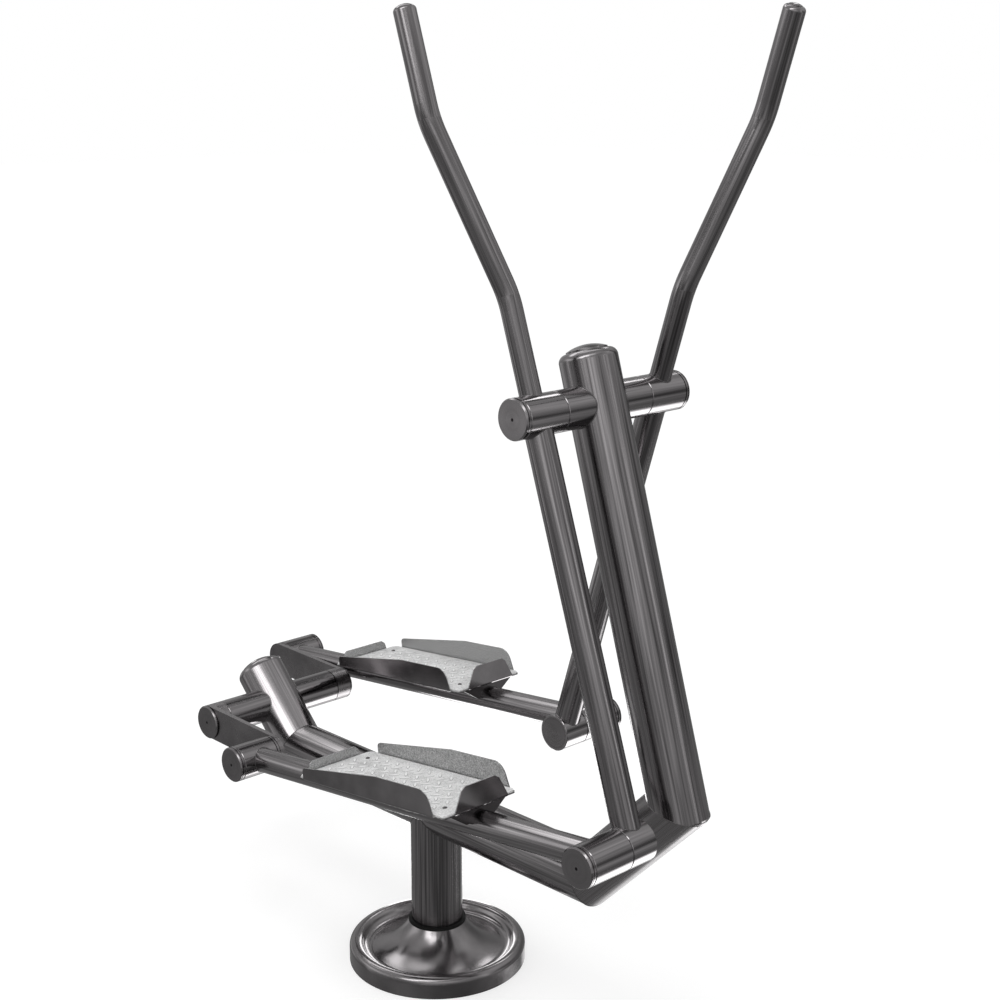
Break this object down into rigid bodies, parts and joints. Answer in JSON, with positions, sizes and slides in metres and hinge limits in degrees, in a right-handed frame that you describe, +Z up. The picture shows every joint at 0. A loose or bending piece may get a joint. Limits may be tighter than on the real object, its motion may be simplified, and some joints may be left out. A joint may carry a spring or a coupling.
{
  "type": "outdoor cross trainer",
  "caption": "Ground-mounted outdoor cross trainer: bent tube frame, swinging levers with handles, pedal arms with folded foot trays and a rear crank.",
  "frame": {"origin": "on the post's axis, at the underside of the ground flange", "axes": "+X forward, the way the user faces, +Y to the user's left, +Z up"},
  "size_m": [1.4467, 0.614, 1.8303],
  "materials": {
    "polished_tube": "polished stainless tube, fine lengthwise grain",
    "turned_cap": "turned stainless, fine circular grain",
    "crank_steel": "brushed stainless plate",
    "cover_sheet": "spun polished stainless sheet",
    "tray_sheet": "folded stainless sheet with fine grain",
    "tread": "light grey embossed non-slip sheet",
    "seal_rubber": "black moulded rubber",
    "galvanised": "zinc-coated plate",
    "bright_steel": "ground steel"
  },
  "bodies": {
    "frame": {"base_flange": "galvanised", "base_gussets": "galvanised", "base_cover": "cover_sheet", "cover_seal": "seal_rubber", "post_tube": "polished_tube", "spine_beam": "polished_tube", "front_elbow": "polished_tube", "column_tube": "polished_tube", "column_cap": "polished_tube", "rear_stub": "polished_tube", "rear_stub_cap": "polished_tube", "top_cross_tube": "polished_tube", "top_axle": "bright_steel", "axle_collars": "bright_steel", "top_axle_keepers": "bright_steel", "crank_housing": "polished_tube", "housing_bearings": "bright_steel"},
    "crank": {"crank_shaft": "bright_steel", "right_crank_plate": "crank_steel", "left_crank_plate": "crank_steel", "crank_caps": "turned_cap", "crank_spacers": "turned_cap"},
    "right_lever": {"right_lever_hub": "polished_tube", "right_hub_bearings": "bright_steel", "right_hub_cap": "turned_cap", "right_lever_tube": "polished_tube", "right_handle_tube": "polished_tube", "right_handle_end": "polished_tube", "right_foot_sleeve": "polished_tube", "right_pedal_pin": "bright_steel", "right_pedal_keeper": "bright_steel"},
    "right_arm": {"right_pedal_arm": "polished_tube", "right_front_sleeve": "polished_tube", "right_rear_sleeve": "polished_tube", "right_arm_bearings": "bright_steel", "right_arm_caps": "turned_cap", "right_crank_pin": "bright_steel", "right_foot_tray": "tray_sheet", "right_tread_plate": "tread", "right_tray_saddles": "tray_sheet", "right_tread_screws": "bright_steel"},
    "left_lever": {"left_lever_hub": "polished_tube", "left_hub_bearings": "bright_steel", "left_hub_cap": "turned_cap", "left_lever_tube": "polished_tube", "left_handle_tube": "polished_tube", "left_handle_end": "polished_tube", "left_foot_sleeve": "polished_tube", "left_pedal_pin": "bright_steel", "left_pedal_keeper": "bright_steel"},
    "left_arm": {"left_pedal_arm": "polished_tube", "left_front_sleeve": "polished_tube", "left_rear_sleeve": "polished_tube", "left_arm_bearings": "bright_steel", "left_arm_caps": "turned_cap", "left_crank_pin": "bright_steel", "left_foot_tray": "tray_sheet", "left_tread_plate": "tread", "left_tray_saddles": "tray_sheet", "left_tread_screws": "bright_steel"}
  },
  "joints": [
    {"name": "right_lever_swing", "type": "hinge", "parent": "frame", "child": "right_lever", "pos_m": [0.41829, -0.1475, 1.18115], "axis": [0, 1, 0], "range_deg": [-0.1, 35.6]},
    {"name": "left_lever_swing", "type": "hinge", "parent": "frame", "child": "left_lever", "pos_m": [0.41829, 0.1475, 1.18115], "axis": [0, 1, 0], "range_deg": [-35.62, 0.12]},
    {"name": "right_pedal_hinge", "type": "hinge", "parent": "right_lever", "child": "right_arm", "pos_m": [0.64092, -0.216, 0.50327], "axis": [0, 1, 0], "range_deg": [-34.95, 0.12]},
    {"name": "left_pedal_hinge", "type": "hinge", "parent": "left_lever", "child": "left_arm", "pos_m": [0.20618, 0.216, 0.49991], "axis": [0, 1, 0], "range_deg": [-0.12, 34.95]},
    {"name": "crank_turn", "type": "hinge", "parent": "frame", "child": "crank", "pos_m": [-0.51784, 0, 0.39884], "axis": [0, 1, 0], "range_deg": [-0.53, 180.65]}
  ],
  "couplings": [
    {"joint": "left_lever_swing", "follows": "right_lever_swing", "ratio": -1},
    {"joint": "right_pedal_hinge", "follows": "right_lever_swing", "ratio": -0.98118},
    {"joint": "left_pedal_hinge", "follows": "right_lever_swing", "ratio": 0.98118},
    {"joint": "crank_turn", "follows": "right_lever_swing", "ratio": 5.0739}
  ]
}
